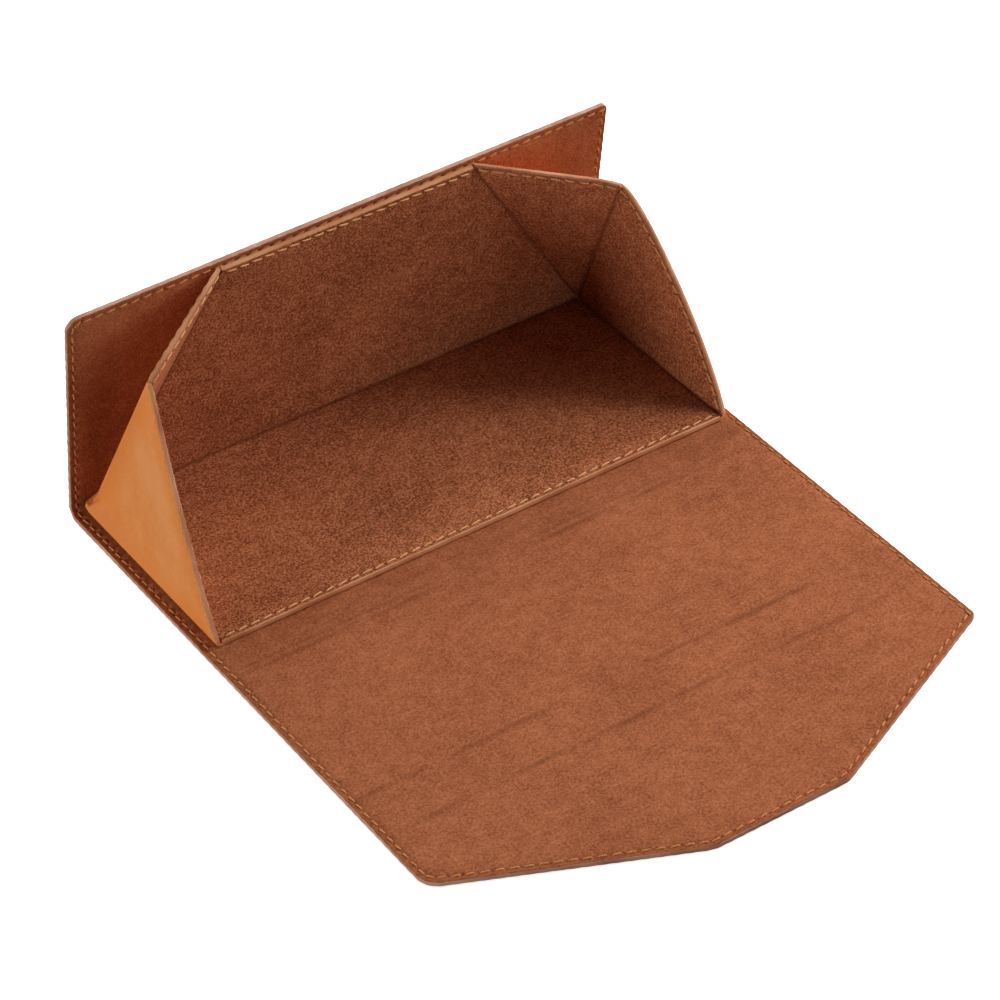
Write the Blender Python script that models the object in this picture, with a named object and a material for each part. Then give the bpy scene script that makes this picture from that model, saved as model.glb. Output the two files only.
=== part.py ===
"""Folding eyeglasses case: a stiffened leather sheet of four panels round a stitched tray with gusset ends.

The sheet runs from the back panel, over the base, to the front panel and the closing tongue. The tray
stands on the base and is bonded to the back panel. Each of its ends is a two-triangle gusset. The case is
shown open: the front panel and tongue lie flat, and the back panel stands at REST_ANGLE to the base.
Frame: +X along the case, +Y towards the back, +Z up, origin under the middle of the tray floor.
"""

import math

import bpy
from mathutils import Matrix, Vector

MM = 0.001

# Layers of one stiffened wall, outside to inside
LEATHER = 0.7 * MM
BOARD = 0.5 * MM
LINING = 0.4 * MM
GLUE_LINE = 0.1 * MM  # between two layers of one wall
BOND_LINE = 0.2 * MM  # between the tray and the sheet
WALL = LEATHER + BOARD + LINING + 2 * GLUE_LINE

# Sheet
SHEET_LENGTH = 165 * MM
BACK_HEIGHT = 69 * MM  # from the tray's rear fold to the top edge
FRONT_REACH = 76 * MM  # from the front fold to the tongue fold
TONGUE_SHOULDER = 24.8 * MM  # from the tongue fold to where the tongue starts to taper
TONGUE_REACH = 54.5 * MM  # from the tongue fold to the tongue's tip
TIP_WIDTH = 40 * MM
SHEET_CORNER = 4 * MM
TIP_CORNER = 8 * MM
CLOSING_GAP = 0.5 * MM  # left between the closed flap and what it closes over

# Tray
TRAY_LENGTH = 155 * MM
TRAY_DEPTH = 68 * MM  # also the height of its rear wall and the side of its end triangles
RIM_RADIUS = 34 * MM  # rounds the rim where the two gusset triangles meet

# Folds
REST_ANGLE = math.radians(78.5)  # back panel to base, case open
CLOSED_ANGLE = math.radians(60)  # the closed case is an equilateral prism
CREASE_GAP = 0.2 * MM  # from a crease to the wall on each side of it
OPEN_PIVOT_GAP = 1.2 * MM  # from the crease between two gusset triangles to the rear one
BOARD_TO_FOLD = 7 * MM  # the boards stop short of the folds that bend far
BOARD_TO_CREASE = 2 * MM
BOARD_TO_EDGE = 4 * MM

# Closure and thread
MAGNET_RADIUS = 6 * MM
MAGNET_THICKNESS = 0.5 * MM
MAGNET_SLACK = 0.3 * MM
MAGNET_REACH = 36.2 * MM  # from the tongue fold to the tongue magnet
SEAM_INSET = 1.5 * MM
THREAD_RADIUS = 0.15 * MM
THREAD_LIFT = 0.1 * MM  # from the lining to the thread
TIGHT_THREAD_RADIUS = 0.08 * MM  # pulled into the suede where the closed gussets lie over it
TIGHT_THREAD_LIFT = 0.02 * MM
THREAD_SIDES = 2  # bevel resolution of the thread

# Where the folds are
REAR_FOLD = Vector((0, TRAY_DEPTH / 2, 2 * WALL + BOND_LINE))  # the tray's inner rear corner
FRONT_FOLD_Y = REAR_FOLD.y - (
    (TRAY_DEPTH * math.sin(CLOSED_ANGLE) + (WALL + BOND_LINE) * math.cos(CLOSED_ANGLE) + CLOSING_GAP)
    / math.sin(CLOSED_ANGLE)
)
FRONT_FOLD = Vector((0, FRONT_FOLD_Y, WALL))
TONGUE_FOLD = FRONT_FOLD - Vector((0, FRONT_REACH, 0))
SHEET_OFFSET = WALL + BOND_LINE  # from the tray's inner face to the sheet's
RIDGE_HEIGHT = (  # the closed tongue fold, up the back panel from the tray's rear fold
    (FRONT_REACH + REAR_FOLD.y - FRONT_FOLD.y) / 2
    - (REAR_FOLD.z - FRONT_FOLD.z) * math.sin(CLOSED_ANGLE)
)

COLOURS = {  # sRGB colour, roughness, metallic
    "leather": ((0.78, 0.48, 0.29), 0.5, 0.0),
    "lining": ((0.60, 0.35, 0.23), 0.95, 0.0),
    "board": ((0.62, 0.58, 0.52), 0.9, 0.0),
    "sheet_thread": ((0.72, 0.38, 0.18), 0.6, 0.0),
    "tray_thread": ((0.85, 0.55, 0.22), 0.6, 0.0),
    "magnet": ((0.60, 0.60, 0.62), 0.3, 1.0),
}


def clear_scene():
    for item in list(bpy.data.objects):
        bpy.data.objects.remove(item, do_unlink=True)


def linear(channel):
    """One sRGB channel as the linear value that Blender's shaders take."""
    return channel / 12.92 if channel <= 0.04045 else ((channel + 0.055) / 1.055) ** 2.4


def make_material(name):
    colour, roughness, metallic = COLOURS[name]
    material = bpy.data.materials.new(name)
    material.use_nodes = True
    shader = material.node_tree.nodes["Principled BSDF"]
    shader.inputs["Base Color"].default_value = (*map(linear, colour), 1)
    shader.inputs["Roughness"].default_value = roughness
    shader.inputs["Metallic"].default_value = metallic
    return material


def make_hinge(name, place, along, across):
    """An empty on a fold: local X runs along the fold, local Y up the wall that turns on it."""
    x = Vector(along).normalized()
    y = (Vector(across) - Vector(across).project(x)).normalized()
    turn = Matrix((x, y, x.cross(y))).transposed().to_4x4()
    hinge = bpy.data.objects.new(name, None)
    hinge.empty_display_size = 0.01
    hinge.matrix_world = Matrix.Translation(place) @ turn
    case.objects.link(hinge)
    return hinge


def add_curve(name, kind, hinge, material):
    curve = bpy.data.curves.new(name, "CURVE")
    curve.dimensions = kind
    curve.materials.append(materials[material])
    item = bpy.data.objects.new(name, curve)
    case.objects.link(item)
    item.parent = hinge
    return item


def add_spline(curve, points, closed):
    spline = curve.splines.new("POLY")
    spline.points.add(len(points) - 1)
    for point, place in zip(spline.points, points):
        point.co = (*place, 0, 1) if len(place) == 2 else (*place, 1)
    spline.use_cyclic_u = closed


def slab(name, outline, low, high, hinge, material, hole=None):
    """A flat piece cut to an outline in its wall's plane, between two heights over it."""
    item = add_curve(name, "2D", hinge, material)
    item.data.fill_mode = "BOTH"
    item.data.extrude = abs(high - low) / 2
    item.location.z = (low + high) / 2
    add_spline(item.data, outline, True)
    if hole:
        add_spline(item.data, hole, True)
    return item


def circle(centre, radius, steps=32):
    turns = [2 * math.pi * i / steps for i in range(steps)]
    return [(centre[0] + radius * math.cos(a), centre[1] + radius * math.sin(a)) for a in turns]


def rounded(corners, steps=6):
    """The outline through (x, y, radius) corners, each rounded by an arc of its radius."""
    outline = []
    for i, (x, y, radius) in enumerate(corners):
        here = Vector((x, y))
        if not radius:
            outline.append((x, y))
            continue
        before = (Vector(corners[i - 1][:2]) - here).normalized()
        after = (Vector(corners[(i + 1) % len(corners)][:2]) - here).normalized()
        half = before.angle(after) / 2
        centre = here + (before + after).normalized() * (radius / math.sin(half))
        first = here + before * (radius / math.tan(half)) - centre
        last = here + after * (radius / math.tan(half)) - centre
        for step in range(steps + 1):
            share = step / steps
            spoke = (first * (1 - share) + last * share).normalized() * radius
            outline.append(tuple(centre + spoke))
    return outline


def inset(outline, distances):
    """A straight-sided outline with side i, from corner i to the next, moved in by distances[i]."""
    count = len(outline)
    corners = [Vector(corner) for corner in outline]
    lines = []
    for i in range(count):
        side = (corners[(i + 1) % count] - corners[i]).normalized()
        inward = Vector((-side.y, side.x))
        lines.append((corners[i] + inward * distances[i], side))
    moved = []
    for i in range(count):
        (start, side), (other, other_side) = lines[i - 1], lines[i]
        reach = (other - start).cross(other_side) / side.cross(other_side)
        moved.append(tuple(start + side * reach))
    return moved


def layered_wall(name, outline, board_outline, base, inward, hinge, board_hole=None):
    """Leather, board and lining of one wall. base is the leather's outer face, inward 1 or -1 along Z."""
    leather_top = base + inward * LEATHER
    board_low = leather_top + inward * GLUE_LINE
    board_top = board_low + inward * BOARD
    lining_low = board_top + inward * GLUE_LINE
    slab(name + "_leather", outline, base, leather_top, hinge, "leather")
    slab(name + "_board", board_outline, board_low, board_top, hinge, "board", board_hole)
    slab(name + "_lining", outline, lining_low, lining_low + inward * LINING, hinge, "lining")
    return (board_low + board_top) / 2


def magnet(name, centre, height, hinge):
    """A disc magnet in its hole in the board."""
    slab(
        name,
        circle(centre, MAGNET_RADIUS),
        height - MAGNET_THICKNESS / 2,
        height + MAGNET_THICKNESS / 2,
        hinge,
        "magnet",
    )


def seam(name, points, face, inward, hinge, material, radius=THREAD_RADIUS, lift=THREAD_LIFT):
    """A run of thread on a lining face."""
    item = add_curve(name, "3D", hinge, material)
    item.data.bevel_depth = radius
    item.data.bevel_resolution = THREAD_SIDES
    item.data.use_fill_caps = True
    height = face + inward * (lift + radius)
    add_spline(item.data, [(x, y, height) for x, y in points], False)


def bend(name, place, start, stop, inner, outer, length, axes, material, steps=10):
    """A strip of one layer bent round a fold: an arc from start to stop, extruded along the fold."""
    turns = [start + (stop - start) * i / steps for i in range(steps + 1)]
    outline = [(outer * math.cos(a), outer * math.sin(a)) for a in turns]
    outline += [(inner * math.cos(a), inner * math.sin(a)) for a in reversed(turns)]
    hinge = make_hinge(name + "_place", place, *axes)
    slab(name, outline, -length / 2, length / 2, hinge, material)


def rectangle(half_width, low, high):
    return [(-half_width, low), (half_width, low), (half_width, high), (-half_width, high)]


def build_base():
    """The base panel: the sheet under the tray, flat on the table."""
    hinge = make_hinge("base_place", (0, 0, 0), (1, 0, 0), (0, 1, 0))
    low, high = FRONT_FOLD.y + CREASE_GAP, REAR_FOLD.y - CREASE_GAP
    outline = rectangle(SHEET_LENGTH / 2, low, high)
    board = inset(outline, (BOARD_TO_CREASE, BOARD_TO_EDGE, BOARD_TO_CREASE, BOARD_TO_EDGE))
    layered_wall("base", outline, board, 0, 1, hinge)
    for side, name in ((-1, "left"), (1, "right")):
        x = side * (SHEET_LENGTH / 2 - SEAM_INSET)
        run = [(x, low + CREASE_GAP), (x, high - CREASE_GAP)]
        seam("base_seam_" + name, run, WALL, 1, hinge, "sheet_thread")


def build_back():
    """The back panel of the sheet, with the steel-backed magnet that holds the tongue."""
    outline = rounded(
        [
            (-SHEET_LENGTH / 2, CREASE_GAP, 0),
            (SHEET_LENGTH / 2, CREASE_GAP, 0),
            (SHEET_LENGTH / 2, BACK_HEIGHT, SHEET_CORNER),
            (-SHEET_LENGTH / 2, BACK_HEIGHT, SHEET_CORNER),
        ]
    )
    board = inset(
        rectangle(SHEET_LENGTH / 2, CREASE_GAP, BACK_HEIGHT),
        (BOARD_TO_CREASE, BOARD_TO_EDGE, BOARD_TO_EDGE, BOARD_TO_EDGE),
    )
    centre = (0, RIDGE_HEIGHT - MAGNET_REACH)
    hole = circle(centre, MAGNET_RADIUS + MAGNET_SLACK)
    base = -SHEET_OFFSET - WALL
    height = layered_wall("back", outline, board, base, 1, back_hinge, hole)
    magnet("back_magnet", centre, height, back_hinge)
    top = BACK_HEIGHT - SEAM_INSET
    for side, name in ((-1, "left"), (1, "right")):
        x = side * (SHEET_LENGTH / 2 - SEAM_INSET)
        tray_side = side * (TRAY_LENGTH / 2 - top * math.tan(math.radians(30)) + SEAM_INSET)
        run = [(x, 2 * CREASE_GAP), (x, top), (tray_side, top)]
        thread = ("sheet_thread", TIGHT_THREAD_RADIUS, TIGHT_THREAD_LIFT)
        seam("back_seam_" + name, run, -SHEET_OFFSET, 1, back_hinge, *thread)


def build_front():
    """The front panel, which swings up over the open side of the tray."""
    outline = rectangle(SHEET_LENGTH / 2, CREASE_GAP, FRONT_REACH - CREASE_GAP)
    board = inset(outline, (BOARD_TO_FOLD, BOARD_TO_EDGE, BOARD_TO_FOLD, BOARD_TO_EDGE))
    layered_wall("front", outline, board, -WALL, 1, front_hinge)
    for side, name in ((1, "left"), (-1, "right")):
        x = side * (SHEET_LENGTH / 2 - SEAM_INSET)
        run = [(x, 2 * CREASE_GAP), (x, FRONT_REACH - 2 * CREASE_GAP)]
        seam("front_seam_" + name, run, 0, 1, front_hinge, "sheet_thread")


def tongue_corners(low):
    return [
        (-SHEET_LENGTH / 2, low),
        (SHEET_LENGTH / 2, low),
        (SHEET_LENGTH / 2, TONGUE_SHOULDER),
        (TIP_WIDTH / 2, TONGUE_REACH),
        (-TIP_WIDTH / 2, TONGUE_REACH),
        (-SHEET_LENGTH / 2, TONGUE_SHOULDER),
    ]


def build_tongue():
    """The closing tongue with its magnet, which folds over the ridge onto the back panel."""
    radii = (0, 0, SHEET_CORNER, TIP_CORNER, TIP_CORNER, SHEET_CORNER)
    corners = tongue_corners(CREASE_GAP)
    outline = rounded([(x, y, radius) for (x, y), radius in zip(corners, radii)])
    board = inset(corners, (BOARD_TO_FOLD,) + (BOARD_TO_EDGE,) * 5)
    centre = (0, MAGNET_REACH)
    hole = circle(centre, MAGNET_RADIUS + MAGNET_SLACK)
    height = layered_wall("tongue", outline, board, -WALL, 1, tongue_hinge, hole)
    magnet("tongue_magnet", centre, height, tongue_hinge)
    line = inset(corners, (CREASE_GAP,) + (SEAM_INSET,) * 5)
    seam("tongue_seam", line[1:] + line[:1], 0, 1, tongue_hinge, "sheet_thread")


def build_tray_floor():
    """The tray's floor, bonded to the base panel."""
    hinge = make_hinge("tray_floor_place", (0, 0, WALL + BOND_LINE), (1, 0, 0), (0, 1, 0))
    outline = inset(
        rectangle(TRAY_LENGTH / 2, -TRAY_DEPTH / 2, TRAY_DEPTH / 2),
        (0, CREASE_GAP, CREASE_GAP, CREASE_GAP),
    )
    board = inset(outline, (BOARD_TO_EDGE, BOARD_TO_CREASE, BOARD_TO_CREASE, BOARD_TO_CREASE))
    layered_wall("tray_floor", outline, board, 0, 1, hinge)
    x, y = TRAY_LENGTH / 2 - SEAM_INSET, SEAM_INSET - TRAY_DEPTH / 2
    seam("tray_floor_seam", [(-x, y), (x, y)], WALL, 1, hinge, "tray_thread")


def build_tray_back():
    """The tray's rear wall, a trapezium bonded to the back panel."""
    narrowing = TRAY_DEPTH * math.tan(math.radians(30))
    corners = [
        (-TRAY_LENGTH / 2, 0),
        (TRAY_LENGTH / 2, 0),
        (TRAY_LENGTH / 2 - narrowing, TRAY_DEPTH),
        (narrowing - TRAY_LENGTH / 2, TRAY_DEPTH),
    ]
    outline = inset(corners, (CREASE_GAP, CREASE_GAP, 0, CREASE_GAP))
    board = inset(outline, (BOARD_TO_CREASE, BOARD_TO_CREASE, BOARD_TO_EDGE, BOARD_TO_CREASE))
    layered_wall("tray_back", outline, board, -WALL, 1, back_hinge)
    line = inset(corners, (CREASE_GAP, 2 * CREASE_GAP, SEAM_INSET, 2 * CREASE_GAP))
    seam("tray_back_seam", line[2:], 0, 1, back_hinge, "tray_thread")


def rim_arc(start, end, steps=8):
    """Points on the rounded rim over the gusset's apex, both triangles laid flat and the crease along -Y.

    The rear triangle's rim lies along -X and the front one's 150 degrees from it.
    """
    reach = RIM_RADIUS * math.tan(math.radians(15))
    across = [start + (end - start) * i / steps for i in range(steps + 1)]
    return [(x, math.sqrt(RIM_RADIUS**2 - (x + reach) ** 2) - RIM_RADIUS) for x in across]


def gusset_outline(triangle, rim, gap):
    """A gusset triangle with its first side on the fold and its last one gap short of the crease."""
    apex = Vector(triangle[2])
    crease = (-apex).normalized()
    across = Vector(triangle[1]) - apex
    across = (across - across.project(crease)).normalized()
    arc = [apex + across * abs(x) - crease * y for x, y in rim]
    return inset(triangle, (CREASE_GAP, 0, gap))[:2] + [tuple(point) for point in arc]


def build_gusset(side, name):
    """One end of the tray: a front triangle on the floor and a rear one on the tray's rear wall."""
    corner = Vector((side * TRAY_LENGTH / 2, REAR_FOLD.y, REAR_FOLD.z))
    lean = gusset_lean(REST_ANGLE)
    rise = Vector((-side * math.sin(lean), 0, math.cos(lean)))
    apex = Vector((0, -math.cos(math.radians(60)), 0)) + rise * math.sin(math.radians(60))
    slant = back_up * math.sin(math.radians(60)) - Vector((side * math.cos(math.radians(60)), 0, 0))
    front = make_hinge("gusset_front_hinge_" + name, corner, (0, -1, 0), apex)
    rear = make_hinge("gusset_rear_hinge_" + name, corner, slant, apex)
    reach = RIM_RADIUS * math.tan(math.radians(15))
    front_rim = rim_arc(reach * math.cos(math.radians(30)), CREASE_GAP)
    rear_rim = rim_arc(-reach, -OPEN_PIVOT_GAP)
    sixty, thirty = math.radians(60), math.radians(30)
    slant_length = TRAY_DEPTH / math.cos(thirty)
    walls = (
        ("gusset_front_" + name, front, TRAY_DEPTH, sixty, front_rim, CREASE_GAP, side),
        ("gusset_rear_" + name, rear, slant_length, thirty, rear_rim, OPEN_PIVOT_GAP, -side),
    )
    for wall, hinge, length, angle, rim, gap, inward in walls:
        peak = (TRAY_DEPTH * math.cos(angle), TRAY_DEPTH * math.sin(angle))
        triangle = [(0, 0), (length, 0), peak]
        outline = gusset_outline(triangle, rim, gap)
        board = inset(triangle, (BOARD_TO_CREASE, BOARD_TO_EDGE, BOARD_TO_CREASE + gap))
        layered_wall(wall, outline, board, -inward * WALL, inward, hinge)
        line = inset(triangle, (3 * CREASE_GAP, SEAM_INSET, gap + 2 * CREASE_GAP))
        seam(wall + "_seam", line[1:], 0, inward, hinge, "tray_thread")


def gusset_lean(angle):
    """How far the front triangles lean in over the tray, with the back panel at an angle to the base."""
    rise = math.sqrt(3) * math.sin(angle)
    return math.atan2(1, rise) - math.acos((2 - math.cos(angle)) / math.hypot(1, rise))


def build_bends():
    """The stretches of the sheet and the tray that wrap round the folds, at rest."""
    down, up = -math.pi / 2, math.pi / 2 - REST_ANGLE
    margin = math.radians(6)
    across = ((0, 1, 0), (0, 0, 1))
    strips = (
        ("back_fold_leather", SHEET_OFFSET + WALL - LEATHER, SHEET_OFFSET + WALL, SHEET_LENGTH, "leather"),
        ("back_fold_lining", SHEET_OFFSET, SHEET_OFFSET + LINING, SHEET_LENGTH, "lining"),
        ("tray_fold_leather", WALL - LEATHER, WALL, TRAY_LENGTH - 2 * CREASE_GAP, "leather"),
    )
    for name, inner, outer, length, material in strips:
        bend(name, REAR_FOLD, down + margin, up - margin, inner, outer, length, across, material)
    up = gusset_lean(REST_ANGLE)
    length = TRAY_DEPTH - 2 * CREASE_GAP
    for side, name in ((-1, "left"), (1, "right")):
        place = (side * TRAY_LENGTH / 2, 0, REAR_FOLD.z)
        across = ((side, 0, 0), (0, 0, 1))
        sizes = (WALL - LEATHER, WALL, length)
        bend("end_fold_" + name, place, down + margin, up - margin, *sizes, across, "leather")


clear_scene()
case = bpy.data.collections.new("eyeglasses_case")
bpy.context.scene.collection.children.link(case)
materials = {name: make_material(name) for name in COLOURS}
back_up = Vector((0, -math.cos(REST_ANGLE), math.sin(REST_ANGLE)))
back_hinge = make_hinge("back_hinge", REAR_FOLD, (1, 0, 0), back_up)
front_hinge = make_hinge("front_hinge", FRONT_FOLD, (-1, 0, 0), (0, -1, 0))
tongue_hinge = make_hinge("tongue_hinge", TONGUE_FOLD, (-1, 0, 0), (0, -1, 0))
build_base()
build_back()
build_front()
build_tongue()
build_tray_floor()
build_tray_back()
build_bends()
build_gusset(-1, "left")
build_gusset(1, "right")
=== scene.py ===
"""Folding eyeglasses case: the visible leather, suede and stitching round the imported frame.

Lengths are in millimetres in the flat layouts and become metres when a mesh is made. A place in a
layout is (u, v, h): u and v in the wall's plane, h from 0 on its leather's face to WALL on its suede's.
"""

import math

import bmesh
import bpy
import numpy as np
from mathutils import Matrix, Vector
from mathutils.geometry import delaunay_2d_cdt


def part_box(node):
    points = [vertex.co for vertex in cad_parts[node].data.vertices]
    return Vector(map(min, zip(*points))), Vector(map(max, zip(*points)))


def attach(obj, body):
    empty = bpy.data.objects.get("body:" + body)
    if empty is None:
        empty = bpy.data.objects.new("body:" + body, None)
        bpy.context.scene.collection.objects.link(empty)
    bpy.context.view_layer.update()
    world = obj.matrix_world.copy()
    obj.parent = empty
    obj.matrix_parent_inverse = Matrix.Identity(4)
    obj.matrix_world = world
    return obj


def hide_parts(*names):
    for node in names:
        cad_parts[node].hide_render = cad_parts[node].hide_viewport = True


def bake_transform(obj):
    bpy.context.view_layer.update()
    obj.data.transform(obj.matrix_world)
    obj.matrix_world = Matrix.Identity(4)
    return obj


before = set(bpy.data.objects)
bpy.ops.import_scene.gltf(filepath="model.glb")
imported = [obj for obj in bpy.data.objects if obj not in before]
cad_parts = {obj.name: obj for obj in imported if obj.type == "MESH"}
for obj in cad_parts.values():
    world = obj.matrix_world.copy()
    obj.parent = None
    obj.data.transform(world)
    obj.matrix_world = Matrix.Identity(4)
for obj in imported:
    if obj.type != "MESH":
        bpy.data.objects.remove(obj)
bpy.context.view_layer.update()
MM = 0.001

# ---------------- sizes
WALL = 1.8  # leather, board and lining
LEATHER = 0.7
LINING = 0.4
GLUE = 0.2  # between the tray's floor and the sheet
FOLD_GAP = 0.2  # from a fold's line to the CAD panel beyond it
SHEET_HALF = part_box("front_leather")[1].x / MM
TRAY_HALF = 77.5
TRAY_DEPTH = 68.0
BACK_HEIGHT = 69.0
SHEET_OFFSET = 2.0  # from the tray's inner face to the sheet's
TONGUE_SHOULDER = 24.8  # from the tongue's fold to where its sides turn in
TONGUE_REACH = 54.5  # from the tongue's fold to its tip
TIP_HALF = 20.0
EAR_REACH = 1.1  # how far the ears stick out beyond the tray's rear corners
EAR_ROOT = 0.35  # how far inside the corners they start
SIDES = ((-1, "left"), (1, "right"))
END_BOW = {"left": 1.0, "right": 2.8}  # how far the end walls' rims stand out in the middle
PINCH = {"left": 2.8, "right": 0.0}  # how far the end walls' creases are pushed in above the corner
PINCH_RISE = (0.2, 3.2)  # where above the corner the pinch starts and is full
PINCH_FADE = 30.0  # how far into the back wall it reaches
RIM_RADIUS = 34.0  # of the gusset's free rim over its apex
BOARD_MARGIN = 4.5  # from a gusset's folds and rim to its board
TALL = math.sqrt(0.75)  # the height of an equilateral triangle with sides of 1
CREASE_LEAN = math.radians(30)  # of the back wall's side creases from upright
REST = math.radians(78.5)  # the back panel's angle to the base, as in the photo
REAR = np.array((0.0, TRAY_DEPTH / 2, 2 * WALL + GLUE))
FRONT_FOLD_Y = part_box("front_leather")[1].y / MM + FOLD_GAP
TONGUE_FOLD_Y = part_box("tongue_leather")[1].y / MM + FOLD_GAP
BACK_UP = np.array((0.0, -math.cos(REST), math.sin(REST)))
BACK_OUT = np.array((0.0, math.sin(REST), math.cos(REST)))
BACK_TURN = math.pi / 2 - REST
SHEET_BEND = 2.9  # the radius of the sheet's middle layer round the rear fold
HEM_BEND = 1.45  # the radius of the gusset leather's middle round its lower fold
WRAP = SHEET_BEND * (math.pi / 2 + BACK_TURN)  # the sheet's flat length round the rear fold
# how far the front triangles lean in at rest, to bring their peaks to the rear ones'
LEAN = math.atan2(1, math.sqrt(3) * math.sin(REST)) - math.acos(
    (2 - math.cos(REST)) / math.hypot(1, math.sqrt(3) * math.sin(REST))
)
HEM = HEM_BEND * (math.pi / 2 + LEAN)  # the gusset leather's flat length round its lower fold

# ---------------- flat layouts
RINGS = (0.1, 0.28, 0.5, 0.8, 1.1, 1.4, 1.7, 2.05, 2.5, 3.2, 4.2)  # rows of points, by distance from a rim
RIM_STEP = 0.5  # from point to point along the rim
FIELD_STEP = 1.9  # the same away from it
FAR = 10.0  # the greatest distance that the marks UV map holds


def rounded(corners, steps=10):
    """The outline through (u, v) corners, each rounded to its own radius."""
    outline = []
    for i, (x, y, radius) in enumerate(corners):
        here = np.array((x, y), float)
        if not radius:
            outline.append(here)
            continue
        before = np.array(corners[i - 1][:2]) - here
        after = np.array(corners[(i + 1) % len(corners)][:2]) - here
        before, after = before / np.linalg.norm(before), after / np.linalg.norm(after)
        half = math.acos(np.clip(before @ after, -1, 1)) / 2
        middle = before + after
        centre = here + middle / np.linalg.norm(middle) * (radius / math.sin(half))
        first = here + before * (radius / math.tan(half)) - centre
        last = here + after * (radius / math.tan(half)) - centre
        for step in range(steps + 1):
            spoke = first * (1 - step / steps) + last * (step / steps)
            outline.append(centre + spoke / np.linalg.norm(spoke) * radius)
    return np.array(outline)


class Rim:
    """A free, stitched edge: a fine line in a wall's flat layout."""

    def __init__(self, points, closed=False, inside=(0, 0)):
        points = np.array(points, float)
        if closed:
            points = np.vstack((points, points[:1]))
        self.start = points[:-1]
        self.side = np.diff(points, axis=0)
        self.size = np.linalg.norm(self.side, axis=1)
        self.side /= self.size[:, None]
        self.before = np.concatenate(((0,), np.cumsum(self.size)))
        self.length = self.before[-1]
        self.inward = np.stack((-self.side[:, 1], self.side[:, 0]), 1)
        middle = len(self.start) // 2
        if (np.array(inside) - self.start[middle]) @ self.inward[middle] < 0:
            self.inward = -self.inward

    def measure(self, points):
        """Distance from the rim, place along it, and the inward normal there."""
        distance, along, inward = [], [], []
        for chunk in np.array_split(points, max(1, len(points) // 1500)):
            gap = chunk[:, None] - self.start[None]
            reach = np.clip((gap * self.side[None]).sum(2), 0, self.size[None])
            off = np.linalg.norm(gap - reach[..., None] * self.side[None], axis=2)
            nearest = off.argmin(1)
            rows = np.arange(len(chunk))
            distance.append(off[rows, nearest])
            along.append(self.before[nearest] + reach[rows, nearest])
            inward.append(self.inward[nearest])
        return np.concatenate(distance), np.concatenate(along), np.concatenate(inward)

    def at(self, along):
        """Points, directions and inward normals at places along the rim."""
        i = np.clip(np.searchsorted(self.before, along, side="right") - 1, 0, len(self.size) - 1)
        return self.start[i] + self.side[i] * (along - self.before[i])[:, None], self.side[i], self.inward[i]


def inside_of(points, outline):
    """How far inside a convex outline the points are."""
    side = np.roll(outline, -1, axis=0) - outline
    size = np.linalg.norm(side, axis=1)
    keep = size > 1e-9
    side, start = side[keep] / size[keep, None], outline[keep]
    gap = points[:, None] - start[None]
    across = gap[..., 1] * side[None, :, 0] - gap[..., 0] * side[None, :, 1]
    if across.mean() < 0:
        across = -across
    return across.min(1)


def border_points(outline, rim):
    """Points along an outline: even on the rim, and elsewhere where the rings of points end."""
    border = []
    for start, end in zip(outline, np.roll(outline, -1, axis=0)):
        length = np.linalg.norm(end - start)
        if length < 1e-6:
            continue
        if rim.measure(((start + end) / 2)[None])[0][0] < 1e-3:
            shares = np.linspace(0, 1, max(1, math.ceil(length / RIM_STEP)) + 1)[:-1]
        else:
            near = [ring for ring in RINGS if ring < length / 2 - 1]
            count = max(2, round((length - 2 * RINGS[-1]) / FIELD_STEP))
            middle = np.linspace(RINGS[-1], length - RINGS[-1], count) if length > 12 else []
            spots = {0.0, *near, *(length - ring for ring in near), *np.round(middle, 4)}
            shares = np.array(sorted(spots)) / length
        border += [start + (end - start) * share for share in shares]
    return np.array(border)


def flat_mesh(outline, rim, rows=()):
    """A triangulated layout: dense along the rim and on the given rows, even elsewhere."""
    border = border_points(outline, rim)
    spots, _, inward = rim.at(np.arange(0, rim.length, RIM_STEP))
    rings = []
    for ring in RINGS:
        points = spots + inward * ring
        good = rim.measure(points)[0] > ring - 0.02
        good &= inside_of(points, outline) > min(0.3, 0.8 * ring)
        rings.append(points[good])
    low, high = outline.min(0), outline.max(0)
    field = []
    for shift in (0, 1):  # two grids, half a step apart, make even triangles
        columns = np.arange(low[0] + shift * FIELD_STEP / 2, high[0], FIELD_STEP)
        levels = np.arange(low[1] + shift * FIELD_STEP * 0.87, high[1], FIELD_STEP * 1.73)
        field.append(np.stack(np.meshgrid(columns, levels), 2).reshape(-1, 2))
    columns = np.arange(low[0], high[0], FIELD_STEP)
    field += [np.stack((columns, 0 * columns + row), 1) for row in rows]
    field = np.vstack(field)
    field = field[inside_of(field, outline) > 0.7]
    field = field[rim.measure(field)[0] > RINGS[-1] + 0.6]
    everything = np.vstack([border, *rings, field])
    edges = [(i, (i + 1) % len(border)) for i in range(len(border))]
    made = delaunay_2d_cdt([Vector(p) for p in everything], edges, [], 1, 1e-3)
    return np.array([tuple(v) for v in made[0]]), np.array(made[2])


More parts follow.
